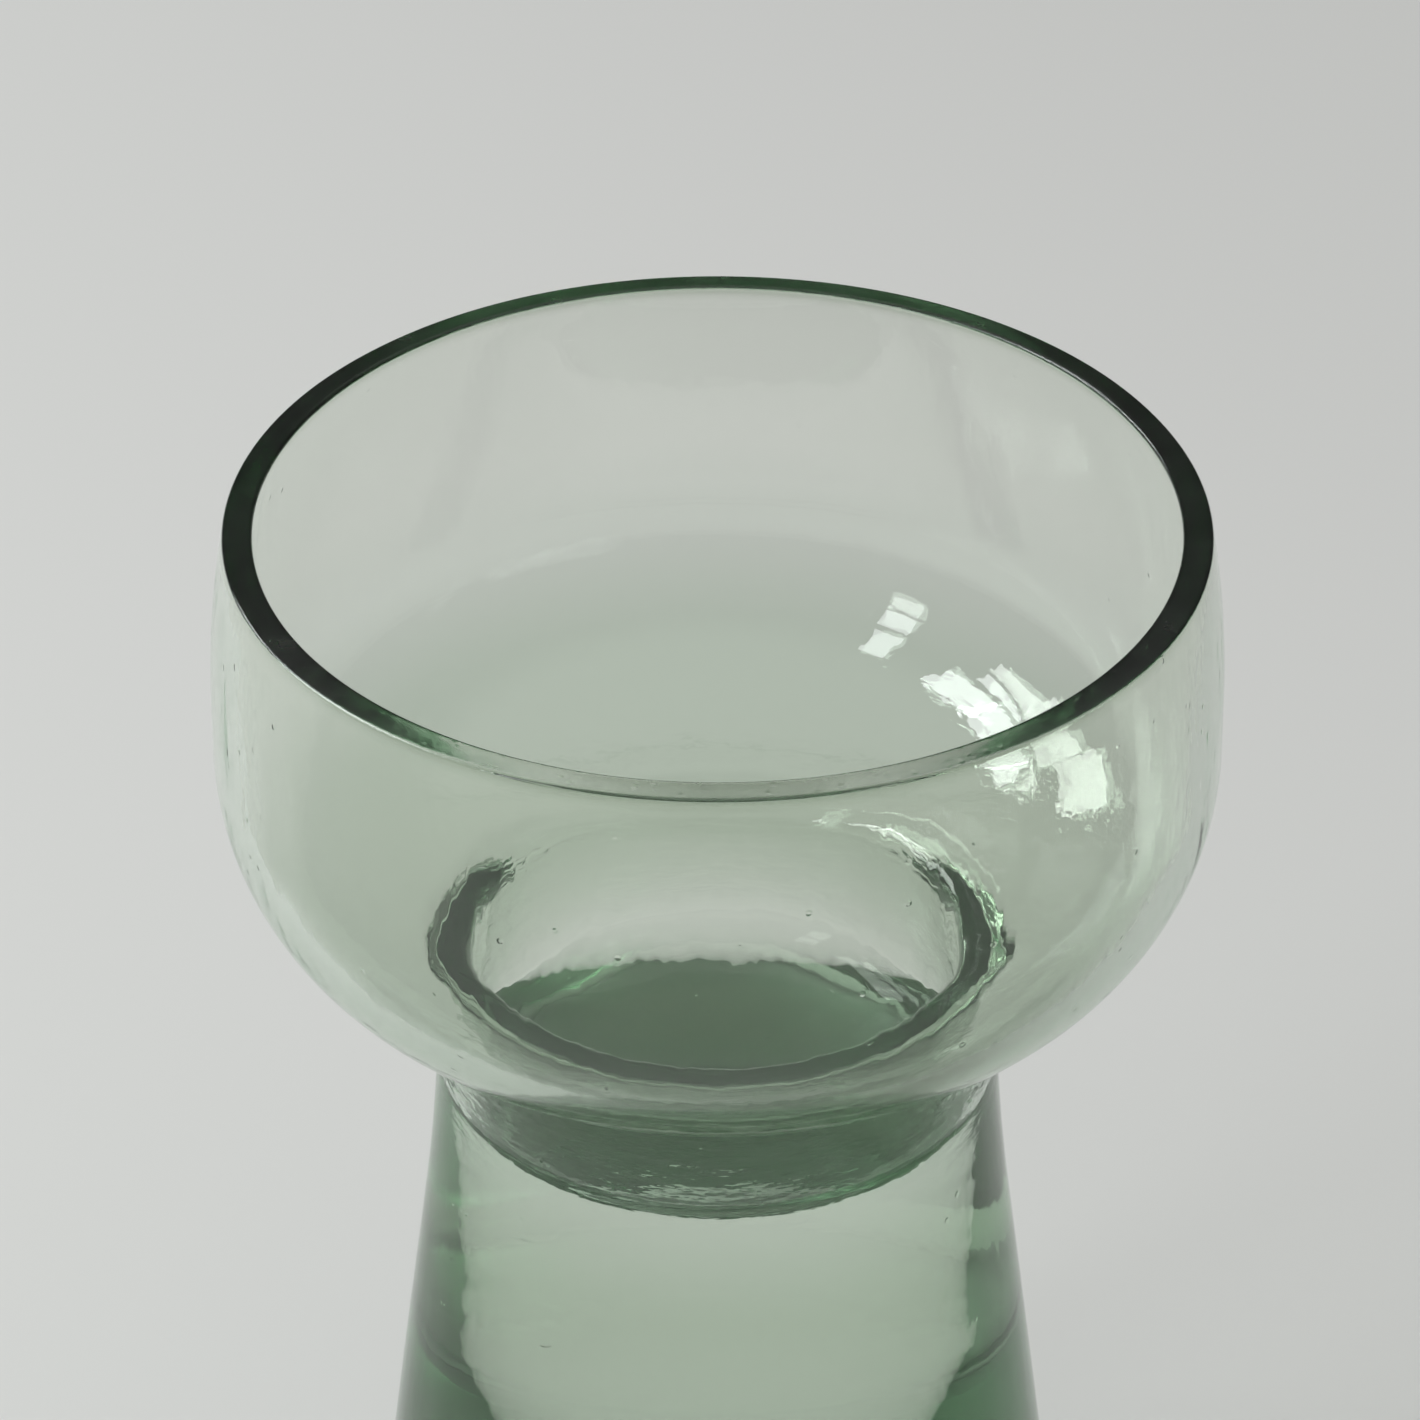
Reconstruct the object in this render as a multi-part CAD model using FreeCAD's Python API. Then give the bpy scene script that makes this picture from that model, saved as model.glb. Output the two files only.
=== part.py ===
import FreeCAD, Part
import math
import os

# Hyacinth forcing vase in millimetres. The origin is the centre of the foot, +Z is up.
# Everything is round about the Z axis.

# Heights. Depths are measured down from the rim.
vessel_height = 130.0
belly_depth = 16.0
belly_band_height = 5.0
water_depth = 59.0

# Outer radii
belly_radius = 43.4
neck_radius = 24.6
neck_curve_radius = 190.0
underside_fillet_radius = 3.0
heel_radius = 5.0

# How far the rim stands in from the belly
rim_inset = 1.5

# Glass thicknesses
bowl_wall = 2.3
neck_wall = 3.2
base_thickness = 6.0

# Radius of the round corner inside, between the reservoir's wall and its floor
floor_corner_radius = 20.0

# How far each bowl curve turns in from upright before it turns down into the neck, in degrees
outer_bowl_turn = 74.0
inner_bowl_turn = 82.0

# How far the reservoir's wall leans out from upright, in degrees
cone_lean = 7.0

# The ground rim has a small rounded edge inside and outside.
rim_edge_radius = 0.4

# A circle counts as lying on the ground rim within this share of the rim edge's radius.
rim_edge_tolerance_share = 0.1


def point(radius, height):
    return FreeCAD.Vector(radius, 0, height)


def arc_point(centre, radius, angle):
    """A point on a circle in the section; the angle is in degrees up from the outward direction."""
    turn = math.radians(angle)
    return point(centre.x + radius * math.cos(turn), centre.z + radius * math.sin(turn))


def line(start, end):
    return Part.LineSegment(start, end).toShape()


def arc(centre, radius, start_angle, end_angle):
    start = arc_point(centre, radius, start_angle)
    middle = arc_point(centre, radius, (start_angle + end_angle) / 2)
    end = arc_point(centre, radius, end_angle)
    return Part.Arc(start, middle, end).toShape()


def start_of(edge):
    return edge.valueAt(edge.FirstParameter)


def end_of(edge):
    return edge.valueAt(edge.LastParameter)


def bowl_curve_radius():
    """The bowl's outer curve ends where the fillet under it turns down into the neck."""
    turn = math.radians(outer_bowl_turn)
    return (belly_radius - neck_radius) / (1 - math.cos(turn)) - underside_fillet_radius


def wall_curve(bowl_offset, throat_radius, bowl_turn):
    """The edges of one side of the glass, from the rim down to the top of the reservoir's cone.

    bowl_offset is how far this side lies inside the outer face of the bowl."""
    side_radius = (belly_depth ** 2 + rim_inset ** 2) / (2 * rim_inset)
    side_centre = point(belly_radius - side_radius, vessel_height - belly_depth)
    side_face = side_radius - bowl_offset
    side_angle = math.degrees(math.asin(belly_depth / side_face))
    side = arc(side_centre, side_face, side_angle, 0)

    bowl_centre_height = vessel_height - belly_depth - belly_band_height
    bowl_centre = point(belly_radius - bowl_curve_radius(), bowl_centre_height)
    bowl = arc(bowl_centre, bowl_curve_radius() - bowl_offset, 0, -bowl_turn)
    band = line(end_of(side), start_of(bowl))

    turn = math.radians(bowl_turn)
    bowl_end = end_of(bowl)
    throat_curve = (bowl_end.x - throat_radius) / (1 - math.cos(turn))
    throat_centre = point(throat_radius + throat_curve, bowl_end.z - throat_curve * math.sin(turn))
    throat = arc(throat_centre, throat_curve, 180 - bowl_turn, 180)

    flare_centre = point(throat_radius + neck_curve_radius, throat_centre.z)
    flare = arc(flare_centre, neck_curve_radius, 180, 180 + cone_lean)
    return [side, band, bowl, throat, flare]


def cone_radius(flare, height):
    """The radius that the cone below a flare has reached at a height."""
    top = end_of(flare)
    return top.x + (top.z - height) * math.tan(math.radians(cone_lean))


def foot_curve(flare, corner_radius, floor_height):
    """The cone below a flare and the round corner at its foot, down to a floor."""
    lean = math.radians(cone_lean)
    corner_height = floor_height + corner_radius
    corner_end_height = corner_height + corner_radius * math.sin(lean)
    corner_end_radius = cone_radius(flare, corner_end_height)
    corner_centre = point(corner_end_radius - corner_radius * math.cos(lean), corner_height)
    corner = arc(corner_centre, corner_radius, cone_lean, -90)
    cone = line(end_of(flare), start_of(corner))
    return [cone, corner]


def outer_curve():
    walls = wall_curve(0, neck_radius, outer_bowl_turn)
    return walls + foot_curve(walls[-1], heel_radius, 0)


def inner_curve():
    walls = wall_curve(bowl_wall, neck_radius - neck_wall, inner_bowl_turn)
    return walls + foot_curve(walls[-1], floor_corner_radius, base_thickness)


def revolved(edges):
    """A full turn about the Z axis of the closed outline that the edges make."""
    outline = Part.Wire(Part.__sortEdges__(edges))
    axis = FreeCAD.Vector(0, 0, 1)
    return Part.Face(outline).revolve(FreeCAD.Vector(), axis, 360)


def reservoir():
    """Everything inside the vessel, from the floor to the rim."""
    inner = inner_curve()
    floor = line(end_of(inner[-1]), point(0, base_thickness))
    axis_line = line(point(0, base_thickness), point(0, vessel_height))
    mouth = line(point(0, vessel_height), start_of(inner[0]))
    return revolved(inner + [floor, axis_line, mouth])


def body():
    """The outside of the vessel, filled."""
    outer = outer_curve()
    base = line(end_of(outer[-1]), point(0, 0))
    axis_line = line(point(0, 0), point(0, vessel_height))
    top = line(point(0, vessel_height), start_of(outer[0]))
    return revolved(outer + [base, axis_line, top])


def rim_edges(shape):
    """The circles where the ground rim meets the two faces of the bowl."""
    tolerance = rim_edge_radius * rim_edge_tolerance_share
    found = []
    for edge in shape.Edges:
        if abs(edge.BoundBox.ZMin - vessel_height) < tolerance:
            found.append(edge)
    return found


def glass_vessel():
    walls = body().cut(reservoir())
    return walls.makeFillet(rim_edge_radius, rim_edges(walls))


def water_fill():
    """The water in the reservoir, level in the neck below the throat."""
    level = vessel_height - water_depth
    slab = Part.makeCylinder(belly_radius, level)
    return reservoir().common(slab)


def write(name, shape):
    solid = shape.Solids[0]
    solid.exportStep("parts/" + name + ".step")
    box = solid.optimalBoundingBox()
    print(name, "solids", len(shape.Solids), "valid", solid.isValid(), "volume", round(solid.Volume))
    print(" x", round(box.XMin, 2), round(box.XMax, 2), "z", round(box.ZMin, 2), round(box.ZMax, 2))


os.makedirs("parts", exist_ok=True)
write("glass_vessel", glass_vessel())
write("water_fill", water_fill())
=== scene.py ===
import bmesh
import bpy
import math
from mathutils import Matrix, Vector


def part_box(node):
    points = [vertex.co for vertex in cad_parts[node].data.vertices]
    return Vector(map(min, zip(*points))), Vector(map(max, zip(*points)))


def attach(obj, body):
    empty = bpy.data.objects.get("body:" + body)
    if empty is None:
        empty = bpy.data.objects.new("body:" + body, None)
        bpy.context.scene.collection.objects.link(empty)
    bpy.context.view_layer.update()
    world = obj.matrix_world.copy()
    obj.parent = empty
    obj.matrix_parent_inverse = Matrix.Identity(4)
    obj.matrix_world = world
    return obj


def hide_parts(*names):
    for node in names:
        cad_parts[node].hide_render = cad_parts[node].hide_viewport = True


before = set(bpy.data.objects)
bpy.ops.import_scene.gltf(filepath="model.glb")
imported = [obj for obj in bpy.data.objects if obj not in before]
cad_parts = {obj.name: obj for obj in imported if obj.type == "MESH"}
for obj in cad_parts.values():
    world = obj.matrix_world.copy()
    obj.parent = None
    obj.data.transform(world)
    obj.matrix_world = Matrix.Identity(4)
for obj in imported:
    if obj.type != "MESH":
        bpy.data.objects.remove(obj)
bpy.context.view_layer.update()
print("frame loaded")

# sizes in the outlines are in millimetres, measured up from the foot
mm = 0.001

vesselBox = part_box("glass_vessel")
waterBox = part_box("water_fill")

vessel = {
    "height": vesselBox[1][2] / mm,
    "bellyRadius": vesselBox[1][0] / mm,
    "floorHeight": waterBox[0][2] / mm,
    "bellyDepth": 16.0,
    "bellyBand": 5.0,
    "rimInset": 1.5,
    "rimEdge": 0.4,
    "rimCrown": 0.21,
    "crownBulge": 0.5,
    "lipThicker": 0.27,
    "lipDepth": 5.0,
    "lipStep": 0.5,
    "neckRadius": 24.6,
    "neckCurve": 190.0,
    "undersideFillet": 3.0,
    "heel": 5.0,
    "bowlWall": 2.3,
    "neckWall": 3.2,
    "floorCorner": 20.0,
    "outerTurn": 74.0,
    "innerTurn": 82.0,
    "coneLean": 7.0,
    "jackLine": 85.2,
    "jackDepth": 0.22,
    "jackWidth": 0.45,
    "jackReach": 1.5,
    "jackStep": 0.2,
}

# how many straight steps each curve of an outline has
curveSteps = {
    "side": 12,
    "bowl": 34,
    "throat": 14,
    "flare": 16,
    "corner": 18,
    "rimEdge": 5,
    "rimCrown": 10,
}

glassFinish = {
    "segments": 256,
    "wobble": 0.14 * mm,
    "wobbleSize": 26 * mm,
    "longestStep": 1.6,
    "ior": 1.52,
    "plainTint": (0.98, 1.0, 0.985),
    "absorbColour": (0.23, 0.57, 0.31),
    "absorbDensity": 36.0,
    "waveSize": 13 * mm,
    "waveHeight": 0.13 * mm,
    "drawnOut": 0.45,
    "seedSize": 5 * mm,
    "seedHeight": 0.02 * mm,
    "toolSize": 5 * mm,
    "toolDetail": 3.0,
    "toolDepth": 0.14 * mm,
    "toolStretch": 3.5,
    "toolPlace": 84 * mm,
    "toolReach": 13 * mm,
    "groundRoughness": 0.2,
    "groundDepth": 0.5 * mm,
    "mottleSize": 13 / 3 * mm,
    "mottleDetail": 4.0,
    "pitSize": 1.3 * mm,
    "pitEdge": (0.05, 0.3),
    "pitHeight": 0.02 * mm,
    "footRoughness": 0.55,
    "footDepth": 0.3 * mm,
    # painted shade by height, as a share of the rim height: darker low down, round the throat and on the
    # ground rim
    "paintedShade": ((0.0, (0.9, 0.925, 0.88)), (0.08, (0.9, 0.925, 0.88)), (0.27, (0.81, 0.85, 0.78)),
              (0.4, (0.87, 0.905, 0.85)), (0.5, (0.9, 0.935, 0.88)), (0.57, (1.0, 1.0, 0.985)),
              (0.61, (0.84, 0.885, 0.82)), (0.66, (0.69, 0.76, 0.665)), (0.73, (0.74, 0.805, 0.72)),
              (0.8, (0.93, 0.945, 0.91)), (0.87, (0.985, 0.98, 0.955)), (0.99, (0.99, 0.985, 0.96)),
              (1.0, (0.45, 0.52, 0.41))),
}

# what climbs the glass leaves the middle of the water a little lower
levelDrop = 0.8

waterFinish = {
    "segments": 256,
    "level": waterBox[1][2] / mm - levelDrop,
    "capillary": 4.2,
    "contactAngle": 72.0,
    "meniscusSteps": 28,
    "meniscusEase": 1.5,
    "levelSlope": 0.5,
    "clearance": 0.03,
    "ior": 1.333,
}


def arcPoints(centre, radius, startAngle, endAngle, steps):
    points = []
    for step in range(steps + 1):
        turn = math.radians(startAngle + (endAngle - startAngle) * step / steps)
        points.append((centre[0] + radius * math.cos(turn), centre[1] + radius * math.sin(turn)))
    return points


def fillIn(points, longestStep):
    # adds even points along the long straight runs of an outline
    filled = [points[0]]
    for start, end in zip(points[:-1], points[1:]):
        length = math.dist(start, end)
        pieces = max(1, math.ceil(length / longestStep))
        for piece in range(1, pieces + 1):
            share = piece / pieces
            filled.append((start[0] + (end[0] - start[0]) * share, start[1] + (end[1] - start[1]) * share))
    return filled


def fillInBetween(points, lowest, highest, longestStep):
    # adds points only along the part of an outline that lies between two heights
    filled = [points[0]]
    for start, end in zip(points[:-1], points[1:]):
        inPart = max(start[1], end[1]) > lowest and min(start[1], end[1]) < highest
        filled += fillIn([start, end], longestStep)[1:] if inPart else [end]
    return filled


def wallCurve(v, inset, throatRadius, turn):
    # one side of the glass from the rim down to the top of the cone
    sideRadius = (v["bellyDepth"] ** 2 + v["rimInset"] ** 2) / (2 * v["rimInset"])
    sideFace = sideRadius - inset
    sideCentre = (v["bellyRadius"] - sideRadius, v["height"] - v["bellyDepth"])
    sideAngle = math.degrees(math.asin(v["bellyDepth"] / sideFace))
    points = arcPoints(sideCentre, sideFace, sideAngle, 0, curveSteps["side"])

    bowlRadius = (v["bellyRadius"] - v["neckRadius"]) / (1 - math.cos(math.radians(v["outerTurn"])))
    bowlRadius -= v["undersideFillet"]
    bowlCentre = (v["bellyRadius"] - bowlRadius, v["height"] - v["bellyDepth"] - v["bellyBand"])
    points += arcPoints(bowlCentre, bowlRadius - inset, 0, -turn, curveSteps["bowl"])

    bend = math.radians(turn)
    bowlEnd = points[-1]
    throatCurve = (bowlEnd[0] - throatRadius) / (1 - math.cos(bend))
    throatCentre = (throatRadius + throatCurve, bowlEnd[1] - throatCurve * math.sin(bend))
    points += arcPoints(throatCentre, throatCurve, 180 - turn, 180, curveSteps["throat"])[1:]

    flareCentre = (throatRadius + v["neckCurve"], throatCentre[1])
    flare = arcPoints(flareCentre, v["neckCurve"], 180, 180 + v["coneLean"], curveSteps["flare"])
    points += flare[1:]
    return points


def footCurve(v, top, corner, floorHeight):
    # the cone below a point and the round corner at its foot
    lean = math.radians(v["coneLean"])
    cornerHeight = floorHeight + corner
    cornerEnd = cornerHeight + corner * math.sin(lean)
    radiusThere = top[0] + (top[1] - cornerEnd) * math.tan(lean)
    cornerCentre = (radiusThere - corner * math.cos(lean), cornerHeight)
    return arcPoints(cornerCentre, corner, v["coneLean"], -90, curveSteps["corner"])


def outerSide(v):
    wall = wallCurve(v, 0, v["neckRadius"], v["outerTurn"])
    return wall + footCurve(v, wall[-1], v["heel"], 0)


def innerSide(v):
    wall = wallCurve(v, v["bowlWall"], v["neckRadius"] - v["neckWall"], v["innerTurn"])
    return wall + footCurve(v, wall[-1], v["floorCorner"], v["floorHeight"])


def below(points, height):
    return [point for point in points if point[1] < height]


def radiusAt(points, height):
    for upper, lower in zip(points[:-1], points[1:]):
        if upper[1] >= height > lower[1]:
            share = (upper[1] - height) / (upper[1] - lower[1])
            return upper[0] + (lower[0] - upper[0]) * share
    return points[-1][0]


def thickenLip(v, inner):
    # the inside stands in a little more towards the rim
    lip = []
    for radius, height in inner:
        share = max(0, 1 - (v["height"] - height) / v["lipDepth"])
        lip.append((radius - v["lipThicker"] * share ** 2, height))
    return lip


def pressJackLine(v, outer):
    # the narrow groove that the jacks pressed under the cup
    pressed = []
    for radius, height in outer:
        away = (height - v["jackLine"]) / v["jackWidth"]
        pressed.append((radius - v["jackDepth"] * math.exp(-away ** 2), height))
    return pressed


def glassOutline(v, finish):
    # from the middle of the foot up the outside, over the rim and down to the middle of the floor
    edge = v["rimEdge"]
    top = v["height"]
    outerTop = top - v["rimCrown"]
    lowest, highest = v["jackLine"] - v["jackReach"], v["jackLine"] + v["jackReach"]
    outer = pressJackLine(v, fillInBetween(outerSide(v), lowest, highest, v["jackStep"]))
    inner = thickenLip(v, fillInBetween(innerSide(v), top - v["lipDepth"], top, v["lipStep"]))
    outerRim = radiusAt(outer, outerTop - edge)
    innerRim = radiusAt(inner, top - edge)
    outside = [(0, 0)] + below(outer, outerTop - edge)[::-1]
    slope = math.degrees(math.atan2(v["rimCrown"], outerRim - innerRim - 2 * edge))
    edgeSteps = curveSteps["rimEdge"]
    outerEdge = arcPoints((outerRim - edge, outerTop - edge), edge, 0, 90 - 2 * slope, edgeSteps)
    innerEdge = arcPoints((innerRim + edge, top - edge), edge, 90, 180, edgeSteps)
    crown = []
    for step in range(1, curveSteps["rimCrown"]):
        share = step / curveSteps["rimCrown"]
        ease = share + v["crownBulge"] * share * (1 - share)
        start, end = outerEdge[-1], innerEdge[0]
        crown.append((start[0] + (end[0] - start[0]) * share, start[1] + (end[1] - start[1]) * ease))
    inside = below(inner, top - edge) + [(0, v["floorHeight"])]
    rim = outerEdge + crown + innerEdge
    return fillIn(outside, finish["longestStep"]) + rim + fillIn(inside, finish["longestStep"])


def contactHeight(finish):
    # how high the water climbs where it touches the glass
    return finish["level"] + 2 * finish["capillary"] * math.sin(math.radians(finish["contactAngle"]) / 2)


def waterOutline(v, finish, longestStep):
    # the level water climbs the glass at its edge, then follows the inside down to the floor
    capillary = finish["capillary"]
    steepest = math.radians(finish["contactAngle"])
    contact = contactHeight(finish)
    wall = innerSide(v)
    gap = finish["clearance"]
    reach = radiusAt(wall, contact) - gap
    edge = []
    for step in range(finish["meniscusSteps"] + 1):
        slope = steepest * (1 - step / finish["meniscusSteps"]) ** finish["meniscusEase"]
        slope = min(slope + math.radians(finish["levelSlope"]), steepest)
        run = math.log(math.tan(steepest / 4) / math.tan(slope / 4))
        run += 2 * (math.cos(steepest / 2) - math.cos(slope / 2))
        edge.append((reach - capillary * run, finish["level"] + 2 * capillary * math.sin(slope / 2)))
    surface = fillIn([(0, finish["level"]), (edge[-1][0], finish["level"])], longestStep) + edge[::-1][1:]
    side = [(reach, contact)]
    side += [(r - gap, max(z, v["floorHeight"] + gap)) for r, z in below(wall, contact)]
    floor = [side[-1], (0, v["floorHeight"] + gap)]
    return surface + fillIn(side, longestStep)[1:] + fillIn(floor, longestStep)[1:]


def addNode(tree, kind, **settings):
    node = tree.nodes.new(kind)
    for name, value in settings.items():
        setattr(node, name, value)
    return node


def addMath(tree, operation, first, second=None):
    node = addNode(tree, "ShaderNodeMath", operation=operation)
    for socket, value in zip(node.inputs, (first, second)):
        if isinstance(value, (int, float)):
            socket.default_value = value
        elif value is not None:
            tree.links.new(value, socket)
    return node.outputs[0]


def addFade(tree, value, start, end, startValue, endValue):
    # a soft step from one value to another
    node = addNode(tree, "ShaderNodeMapRange", interpolation_type="SMOOTHSTEP")
    node.inputs["From Min"].default_value = start
    node.inputs["From Max"].default_value = end
    node.inputs["To Min"].default_value = startValue
    node.inputs["To Max"].default_value = endValue
    tree.links.new(value, node.inputs["Value"])
    return node.outputs[0]


def addNoise(tree, place, size, detail):
    node = addNode(tree, "ShaderNodeTexNoise")
    node.inputs["Scale"].default_value = 1 / size
    node.inputs["Detail"].default_value = detail
    tree.links.new(place, node.inputs["Vector"])
    return node.outputs[0]


lathe = {
    "calmRadius": 12 * mm,
    "wobbleDetail": 1.0,
    "mergeDistance": 0.004 * mm,
    "sharpAngle": 30,
}


def makeLatheTree(values):
    # turns an outline of points, radius along X and height along Z, into a closed round body
    tree = bpy.data.node_groups.new("roundBody", "GeometryNodeTree")
    sockets = tree.interface
    sockets.new_socket("Outline", in_out="INPUT", socket_type="NodeSocketGeometry")
    for name, kind in (("Segments", "Int"), ("Wobble", "Float"), ("Wobble Size", "Float"), ("Seed", "Float")):
        sockets.new_socket(name, in_out="INPUT", socket_type="NodeSocket" + kind)
    sockets.new_socket("Material", in_out="INPUT", socket_type="NodeSocketMaterial")
    sockets.new_socket("Body", in_out="OUTPUT", socket_type="NodeSocketGeometry")
    given = addNode(tree, "NodeGroupInput").outputs
    result = addNode(tree, "NodeGroupOutput").inputs
    link = tree.links.new

    outlineSize = addNode(tree, "GeometryNodeAttributeDomainSize", component="MESH")
    link(given["Outline"], outlineSize.inputs["Geometry"])
    pointCount = outlineSize.outputs["Point Count"]
    columns = addMath(tree, "ADD", given["Segments"], 1)
    sheet = addNode(tree, "GeometryNodeMeshGrid")
    link(columns, sheet.inputs["Vertices X"])
    link(pointCount, sheet.inputs["Vertices Y"])

    index = addNode(tree, "GeometryNodeInputIndex").outputs[0]
    row = addMath(tree, "FLOORED_MODULO", index, pointCount)
    column = addMath(tree, "FLOOR", addMath(tree, "DIVIDE", addMath(tree, "ADD", index, 0.5), pointCount))
    place = addNode(tree, "GeometryNodeInputPosition").outputs[0]
    sample = addNode(tree, "GeometryNodeSampleIndex", data_type="FLOAT_VECTOR", domain="POINT")
    link(given["Outline"], sample.inputs["Geometry"])
    link(place, sample.inputs["Value"])
    link(row, sample.inputs["Index"])
    outlinePoint = addNode(tree, "ShaderNodeSeparateXYZ")
    link(sample.outputs[0], outlinePoint.inputs[0])
    radius = outlinePoint.outputs["X"]
    height = outlinePoint.outputs["Z"]

    turn = addMath(tree, "MULTIPLY", addMath(tree, "DIVIDE", column, given["Segments"]), 2 * math.pi)
    cosine = addMath(tree, "COSINE", turn)
    sine = addMath(tree, "SINE", turn)

    def placed(reach):
        vector = addNode(tree, "ShaderNodeCombineXYZ")
        link(addMath(tree, "MULTIPLY", reach, cosine), vector.inputs["X"])
        link(addMath(tree, "MULTIPLY", reach, sine), vector.inputs["Y"])
        link(height, vector.inputs["Z"])
        return vector.outputs[0]

    # the wall stands in a little here and there, as hand-shaped glass does
    noise = addNode(tree, "ShaderNodeTexNoise", noise_dimensions="4D")
    noise.inputs["Detail"].default_value = values["wobbleDetail"]
    link(placed(radius), noise.inputs["Vector"])
    link(given["Seed"], noise.inputs["W"])
    link(addMath(tree, "DIVIDE", 1, given["Wobble Size"]), noise.inputs["Scale"])
    depth = addMath(tree, "MULTIPLY", noise.outputs[0], given["Wobble"])
    fade = addMath(tree, "MINIMUM", addMath(tree, "MULTIPLY", radius, 1 / values["calmRadius"]), 1)
    wobbled = addMath(tree, "SUBTRACT", radius, addMath(tree, "MULTIPLY", depth, fade))

    shape = addNode(tree, "GeometryNodeSetPosition")
    link(sheet.outputs["Mesh"], shape.inputs["Geometry"])
    link(placed(wobbled), shape.inputs["Position"])
    closed = addNode(tree, "GeometryNodeMergeByDistance")
    closed.inputs["Distance"].default_value = values["mergeDistance"]
    link(shape.outputs[0], closed.inputs["Geometry"])
    smooth = addNode(tree, "GeometryNodeSetShadeSmooth")
    link(closed.outputs[0], smooth.inputs["Geometry"])
    real = addNode(tree, "GeometryNodeRealizeInstances")
    link(smooth.outputs[0], real.inputs[0])
    coated = addNode(tree, "GeometryNodeSetMaterial")
    link(real.outputs[0], coated.inputs["Geometry"])
    link(given["Material"], coated.inputs["Material"])
    link(coated.outputs[0], result["Body"])
    return tree


latheTree = makeLatheTree(lathe)
print("lathe tree built")


def makeOutlineMesh(name, points):
    mesh = bpy.data.meshes.new(name)
    edges = [(step, step + 1) for step in range(len(points) - 1)]
    mesh.from_pydata([(r * mm, 0, z * mm) for r, z in points], edges, [])
    return mesh


def finishNormals(mesh, sharpAngle):
    # merged seams leave the faces' sense to be set, and the few true edges stay crisp
    work = bmesh.new()
    work.from_mesh(mesh)
    bmesh.ops.recalc_face_normals(work, faces=work.faces)
    for edge in work.edges:
        edge.smooth = edge.calc_face_angle(0) < math.radians(sharpAngle)
    openEdges = sum(1 for edge in work.edges if not edge.is_manifold)
    work.to_mesh(mesh)
    work.free()
    return openEdges


def turnBody(name, points, inputs, material):
    source = bpy.data.objects.new(name + "Outline", makeOutlineMesh(name + "Outline", points))
    bpy.context.scene.collection.objects.link(source)
    modifier = source.modifiers.new("turned", "NODES")
    modifier.node_group = latheTree
    inputs = dict(inputs, Material=material)
    for socket in latheTree.interface.items_tree:
        if socket.name in inputs:
            modifier[socket.identifier] = inputs[socket.name]
    evaluated = source.evaluated_get(bpy.context.evaluated_depsgraph_get())
    mesh = bpy.data.meshes.new_from_object(evaluated)
    mesh.name = name
    mesh.materials.clear()
    mesh.materials.append(material)
    mesh.polygons.foreach_set("material_index", [0] * len(mesh.polygons))
    source.modifiers.remove(modifier)
    bpy.data.objects.remove(source)
    openEdges = finishNormals(mesh, lathe["sharpAngle"])
    piece = bpy.data.objects.new(name, mesh)
    bpy.context.scene.collection.objects.link(piece)
    print(name, "faces", len(mesh.polygons), "open edges", openEdges)
    return piece


def makeClearMaterial(name, tint, ior):
    material = bpy.data.materials.new(name)
    material.use_nodes = True
    shader = material.node_tree.nodes["Principled BSDF"]
    shader.inputs["Base Color"].default_value = (*tint, 1)
    shader.inputs["Roughness"].default_value = 0.0
    shader.inputs["IOR"].default_value = ior
    shader.inputs["Transmission Weight"].default_value = 1.0
    return material, shader


# where a seed's edge starts and ends, as a share of the space between seeds, and the waves' detail
seedEdge = (0.03, 0.07)
waveDetail = 4.0


def makeUnevenness():
    # slow waves and a few tiny blisters, as hand-blown glass has under the finger
    tree = bpy.data.node_groups.new("blownUnevenness", "ShaderNodeTree")
    for name in ("Wave Size", "Wave Height", "Drawn Out", "Seed Size", "Seed Height"):
        tree.interface.new_socket(name, in_out="INPUT", socket_type="NodeSocketFloat")
    tree.interface.new_socket("Height", in_out="OUTPUT", socket_type="NodeSocketFloat")
    given = addNode(tree, "NodeGroupInput").outputs
    result = addNode(tree, "NodeGroupOutput").inputs
    link = tree.links.new
    place = addNode(tree, "ShaderNodeTexCoord").outputs["Object"]
    stretch = addNode(tree, "ShaderNodeCombineXYZ")
    stretch.inputs["X"].default_value = 1.0
    stretch.inputs["Y"].default_value = 1.0
    link(given["Drawn Out"], stretch.inputs["Z"])
    drawn = addNode(tree, "ShaderNodeVectorMath", operation="MULTIPLY")
    link(place, drawn.inputs[0])
    link(stretch.outputs[0], drawn.inputs[1])
    waves = addNode(tree, "ShaderNodeTexNoise")
    waves.inputs["Detail"].default_value = waveDetail
    link(drawn.outputs[0], waves.inputs["Vector"])
    link(addMath(tree, "DIVIDE", 1, given["Wave Size"]), waves.inputs["Scale"])
    seeds = addNode(tree, "ShaderNodeTexVoronoi")
    link(place, seeds.inputs["Vector"])
    link(addMath(tree, "DIVIDE", 1, given["Seed Size"]), seeds.inputs["Scale"])
    blister = addFade(tree, seeds.outputs["Distance"], *seedEdge, 1.0, 0.0)
    raised = addMath(tree, "MULTIPLY", blister, given["Seed Height"])
    total = addMath(tree, "ADD", addMath(tree, "MULTIPLY", waves.outputs[0], given["Wave Height"]), raised)
    link(total, result["Height"])
    return tree


unevenness = makeUnevenness()


def addUnevenness(tree, finish):
    node = addNode(tree, "ShaderNodeGroup", node_tree=unevenness)
    for name, key in (("Wave Size", "waveSize"), ("Wave Height", "waveHeight"), ("Drawn Out", "drawnOut"),
                      ("Seed Size", "seedSize"), ("Seed Height", "seedHeight")):
        node.inputs[name].default_value = finish[key]
    return node.outputs["Height"]


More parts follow.
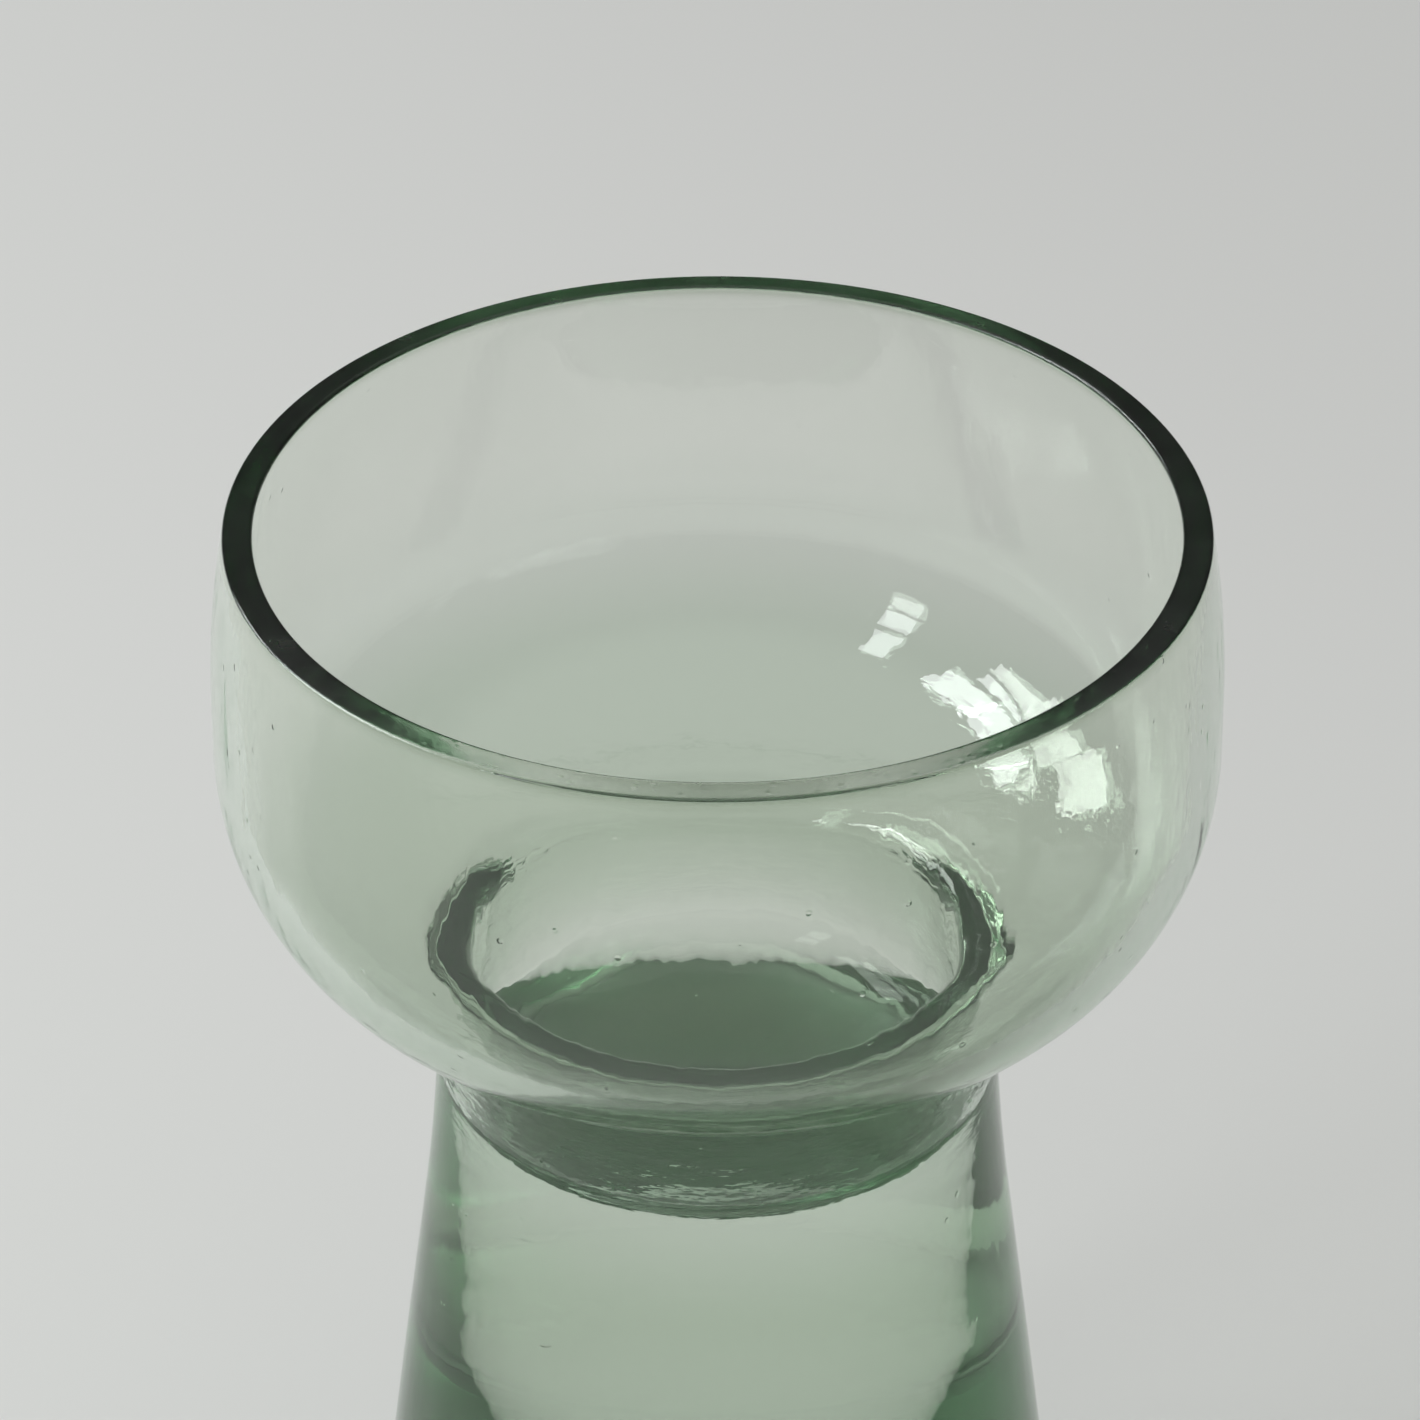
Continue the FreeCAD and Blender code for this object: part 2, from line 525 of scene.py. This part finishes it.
def addGroundFinish(tree, place, height, finish, rimHeight):
    # the top of the rim is ground, a little frosted and pitted, and the foot is ground flat and dull
    depth = finish["groundDepth"]
    ground = addFade(tree, height, rimHeight - depth, rimHeight - depth / 2, 0.0, 1.0)
    # the mottle is one half on average, so the roughness is doubled
    mottle = addNoise(tree, place, finish["mottleSize"], finish["mottleDetail"])
    frost = addMath(tree, "MULTIPLY", ground, finish["groundRoughness"] * 2)
    frost = addMath(tree, "MULTIPLY", frost, mottle)
    under = addMath(tree, "LESS_THAN", height, finish["footDepth"])
    roughness = addMath(tree, "ADD", frost, addMath(tree, "MULTIPLY", under, finish["footRoughness"]))

    pits = addNode(tree, "ShaderNodeTexVoronoi")
    pits.inputs["Scale"].default_value = 1 / finish["pitSize"]
    tree.links.new(place, pits.inputs["Vector"])
    chipped = addFade(tree, pits.outputs["Distance"], *finish["pitEdge"], -1.0, 0.0)
    pitted = addMath(tree, "MULTIPLY", addMath(tree, "MULTIPLY", chipped, ground), finish["pitHeight"])
    return roughness, pitted


def addPaintedShade(tree, height, finish, rimHeight):
    # painted shade: the glass colour is painted darker by height, low down where the floor by the foot lies
    # in the vase's shadow, round the creases of the throat, and most on the ground rim
    ramp = addNode(tree, "ShaderNodeValToRGB")
    stops = ramp.color_ramp.elements
    for count, (position, tint) in enumerate(finish["paintedShade"]):
        stop = stops[count] if count < 2 else stops.new(position)
        stop.position = position
        stop.color = (*tint, 1)
    tree.links.new(addMath(tree, "DIVIDE", height, rimHeight), ramp.inputs[0])
    return ramp.outputs[0]


def addToolMarks(tree, place, height, finish):
    # the jacks that drew in the throat left rough marks round it
    away = addMath(tree, "ABSOLUTE", addMath(tree, "SUBTRACT", height, finish["toolPlace"]))
    worked = addFade(tree, away, finish["toolReach"] / 3, finish["toolReach"], 1.0, 0.0)
    drawn = addNode(tree, "ShaderNodeVectorMath", operation="MULTIPLY")
    drawn.inputs[1].default_value = (1, 1, finish["toolStretch"])
    tree.links.new(place, drawn.inputs[0])
    marks = addNoise(tree, drawn.outputs[0], finish["toolSize"], finish["toolDetail"])
    return addMath(tree, "MULTIPLY", addMath(tree, "MULTIPLY", marks, worked), finish["toolDepth"])


def makeGreenGlass(finish, waterIor, rimHeight):
    material, shader = makeClearMaterial("greenGlass", finish["plainTint"], finish["ior"])
    tree = material.node_tree
    link = tree.links.new
    # light bends less where the inside is wet than where it is dry
    wet = addNode(tree, "ShaderNodeAttribute", attribute_name="wet")
    bend = addNode(tree, "ShaderNodeMapRange")
    bend.inputs["To Min"].default_value = finish["ior"]
    bend.inputs["To Max"].default_value = finish["ior"] / waterIor
    link(wet.outputs["Fac"], bend.inputs["Value"])
    link(bend.outputs[0], shader.inputs["IOR"])

    place = addNode(tree, "ShaderNodeTexCoord").outputs["Object"]
    split = addNode(tree, "ShaderNodeSeparateXYZ")
    link(place, split.inputs[0])
    height = split.outputs["Z"]
    roughness, pitted = addGroundFinish(tree, place, height, finish, rimHeight)
    link(roughness, shader.inputs["Roughness"])
    # the base colour carries the painted shade
    link(addPaintedShade(tree, height, finish, rimHeight), shader.inputs["Base Color"])

    bump = addNode(tree, "ShaderNodeBump")
    bump.inputs["Distance"].default_value = 1.0
    raised = addMath(tree, "ADD", addUnevenness(tree, finish), pitted)
    link(addMath(tree, "ADD", raised, addToolMarks(tree, place, height, finish)), bump.inputs["Height"])
    link(bump.outputs[0], shader.inputs["Normal"])

    absorb = addNode(tree, "ShaderNodeVolumeAbsorption")
    absorb.inputs["Color"].default_value = (*finish["absorbColour"], 1)
    absorb.inputs["Density"].default_value = finish["absorbDensity"]
    link(absorb.outputs[0], tree.nodes["Material Output"].inputs["Volume"])
    return material


def markWetGlass(mesh, v, contact):
    # the inside faces that the water touches
    wall = innerSide(v)
    wet = mesh.attributes.new("wet", "FLOAT", "FACE")
    for face in mesh.polygons:
        reach = math.hypot(face.center.x, face.center.y) / mm
        height = face.center.z / mm
        inside = reach < radiusAt(wall, height) + v["bowlWall"] / 2 and height > v["floorHeight"] / 2
        wet.data[face.index].value = 1.0 if inside and height < contact else 0.0


# a face of the water that turns outward more than this belongs to its side
leastOutward = 0.3


def markWaterSides(mesh, material, level):
    # only the top of the water bends light by itself; its sides meet the glass, which does it for both
    mesh.materials.append(material)
    for face in mesh.polygons:
        outward = face.normal.xy.dot(face.center.xy.normalized())
        facesUp = outward < leastOutward and face.normal.z > 0
        top = facesUp and face.center.z > level * mm / 2
        face.material_index = 0 if top else 1


greenGlass = makeGreenGlass(glassFinish, waterFinish["ior"], vessel["height"] * mm)
clearWater = makeClearMaterial("clearWater", (1, 1, 1), waterFinish["ior"])[0]
waterSides = makeClearMaterial("waterAgainstGlass", (1, 1, 1), 1.0)[0]
print("materials built")

wobble = {"Segments": glassFinish["segments"], "Wobble": glassFinish["wobble"],
          "Wobble Size": glassFinish["wobbleSize"], "Seed": 3.0}
glass = turnBody("glassVessel", glassOutline(vessel, glassFinish), wobble, greenGlass)
markWetGlass(glass.data, vessel, contactHeight(waterFinish))
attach(glass, "root")
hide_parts("glass_vessel")

waterWobble = dict(wobble, Segments=waterFinish["segments"])
water = turnBody("waterFill", waterOutline(vessel, waterFinish, glassFinish["longestStep"]),
                 waterWobble, clearWater)
markWaterSides(water.data, waterSides, waterFinish["level"])
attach(water, "root")
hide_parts("water_fill")
print("vessel and water turned")

stage = {
    "floorWidth": 6.0,
    "floorGap": 0.1 * mm,
    # painted light: the floor's colour goes from paler near the front to darker farther back
    "floorLitNear": (0.67, 0.665, 0.645),
    "floorDimFar": (0.6, 0.594, 0.577),
    "floorLightFade": (0.04, 0.34),
    "floorRoughness": 0.9,
    "floorShine": 0.1,
    "skyStops": ((0.0, 0.03), (0.35, 0.09), (0.56, 0.16), (0.84, 0.68), (1.0, 0.78)),
    "skyTint": (1.0, 1.0, 0.985),
}

# soft boxes to the left, given as they are seen from the vase: degrees round from the back, up, wide, high
lamps = {
    "paneUpperBack": {"round": -64, "up": 42, "wide": 16, "high": 11, "brightness": 7.6},
    "paneUpperMiddle": {"round": -82, "up": 42, "wide": 16, "high": 12, "brightness": 7.6},
    "paneUpperFront": {"round": -100, "up": 42, "wide": 16, "high": 11, "brightness": 7.6},
    "paneLowerBack": {"round": -57, "up": 20, "wide": 16, "high": 18, "brightness": 7.6},
    "paneLowerMiddle": {"round": -75, "up": 25, "wide": 16, "high": 17, "brightness": 7.6},
    "paneLowerFront": {"round": -93, "up": 28, "wide": 16, "high": 12, "brightness": 7.6},
    "paneFarLower": {"round": -131, "up": 24, "wide": 8, "high": 15, "brightness": 5.5},
    "paneFarUpper": {"round": -131, "up": 40, "wide": 7, "high": 12, "brightness": 5.5},
}

lampFinish = {
    "distance": 1.6,
    "aim": (0.0, 0.0, 0.1),
    "colour": (0.94, 0.98, 0.995),
}

camera = {
    "distance": 0.7,
    "elevation": 31.93,
    "pitch": 33.23,
    "lens": 209.8,
    "sensor": 36,
    "sideways": -0.64 * mm,
    "nearest": 0.01,
}


def makeFloor(values):
    # painted light: the floor is painted a shade paler towards the front, where more light falls
    material = bpy.data.materials.new("paleFloor")
    material.use_nodes = True
    tree = material.node_tree
    shader = tree.nodes["Principled BSDF"]
    place = addNode(tree, "ShaderNodeTexCoord").outputs["Object"]
    split = addNode(tree, "ShaderNodeSeparateXYZ")
    fade = addNode(tree, "ShaderNodeMapRange")
    fade.inputs["From Min"].default_value, fade.inputs["From Max"].default_value = values["floorLightFade"]
    mix = addNode(tree, "ShaderNodeMix", data_type="RGBA")
    mix.inputs["A"].default_value = (*values["floorLitNear"], 1)
    mix.inputs["B"].default_value = (*values["floorDimFar"], 1)
    tree.links.new(place, split.inputs[0])
    tree.links.new(split.outputs["Y"], fade.inputs["Value"])
    tree.links.new(fade.outputs[0], mix.inputs["Factor"])
    tree.links.new(mix.outputs["Result"], shader.inputs["Base Color"])
    shader.inputs["Roughness"].default_value = values["floorRoughness"]
    shader.inputs["Specular IOR Level"].default_value = values["floorShine"]
    half = values["floorWidth"] / 2
    mesh = bpy.data.meshes.new("floor")
    level = -values["floorGap"]
    corners = [(-half, -half, level), (half, -half, level), (half, half, level), (-half, half, level)]
    mesh.from_pydata(corners, [], [(0, 1, 2, 3)])
    mesh.materials.append(material)
    floor = bpy.data.objects.new("floor", mesh)
    bpy.context.scene.collection.objects.link(floor)


def makeLamp(name, pane, finish):
    turn = math.radians(pane["round"])
    rise = math.radians(pane["up"])
    aim = Vector(finish["aim"])
    towards = Vector((math.cos(rise) * math.sin(turn), math.cos(rise) * math.cos(turn), math.sin(rise)))
    lamp = bpy.data.lights.new(name, "AREA")
    lamp.shape = "RECTANGLE"
    lamp.size = 2 * finish["distance"] * math.tan(math.radians(pane["wide"] / 2))
    lamp.size_y = 2 * finish["distance"] * math.tan(math.radians(pane["high"] / 2))
    lamp.energy = pane["brightness"] * math.pi * lamp.size * lamp.size_y
    lamp.color = finish["colour"]
    holder = bpy.data.objects.new(name, lamp)
    holder.location = aim + towards * finish["distance"]
    holder.rotation_euler = towards.to_track_quat("Z", "Y").to_euler()
    bpy.context.scene.collection.objects.link(holder)


def makeWorld(values):
    # dim round about and bright overhead, as under a large soft ceiling light
    world = bpy.data.worlds.new("studio")
    world.use_nodes = True
    tree = world.node_tree
    place = addNode(tree, "ShaderNodeTexCoord")
    split = addNode(tree, "ShaderNodeSeparateXYZ")
    tree.links.new(place.outputs["Generated"], split.inputs[0])
    ramp = addNode(tree, "ShaderNodeValToRGB")
    ramp.color_ramp.interpolation = "EASE"
    stops = ramp.color_ramp.elements
    for count, (position, brightness) in enumerate(values["skyStops"]):
        stop = stops[count] if count < 2 else stops.new(position)
        stop.position = position
        stop.color = (*[brightness * tint for tint in values["skyTint"]], 1)
    tree.links.new(split.outputs["Z"], ramp.inputs[0])
    tree.links.new(ramp.outputs[0], tree.nodes["Background"].inputs[0])
    bpy.context.scene.world = world


def makeCamera(values, rimHeight):
    lens = bpy.data.cameras.new("camera")
    lens.sensor_width = values["sensor"]
    lens.lens = values["lens"]
    lens.clip_start = values["nearest"]
    holder = bpy.data.objects.new("camera", lens)
    rise = math.radians(values["elevation"])
    reach = values["distance"] * math.cos(rise)
    holder.location = (values["sideways"], -reach, rimHeight + values["distance"] * math.sin(rise))
    holder.rotation_euler = (math.radians(90 - values["pitch"]), 0, 0)
    bpy.context.scene.collection.objects.link(holder)
    bpy.context.scene.camera = holder


makeFloor(stage)
makeWorld(stage)
for lampName, pane in lamps.items():
    makeLamp(lampName, pane, lampFinish)
makeCamera(camera, vessel["height"] * mm)
bpy.context.scene.view_settings.view_transform = "Standard"
# light passes many faces of glass and water before it leaves the vase
mostBounces = 32
for kind in ("max_bounces", "transmission_bounces", "glossy_bounces"):
    setattr(bpy.context.scene.cycles, kind, mostBounces)
print("stage, lamps and camera placed")
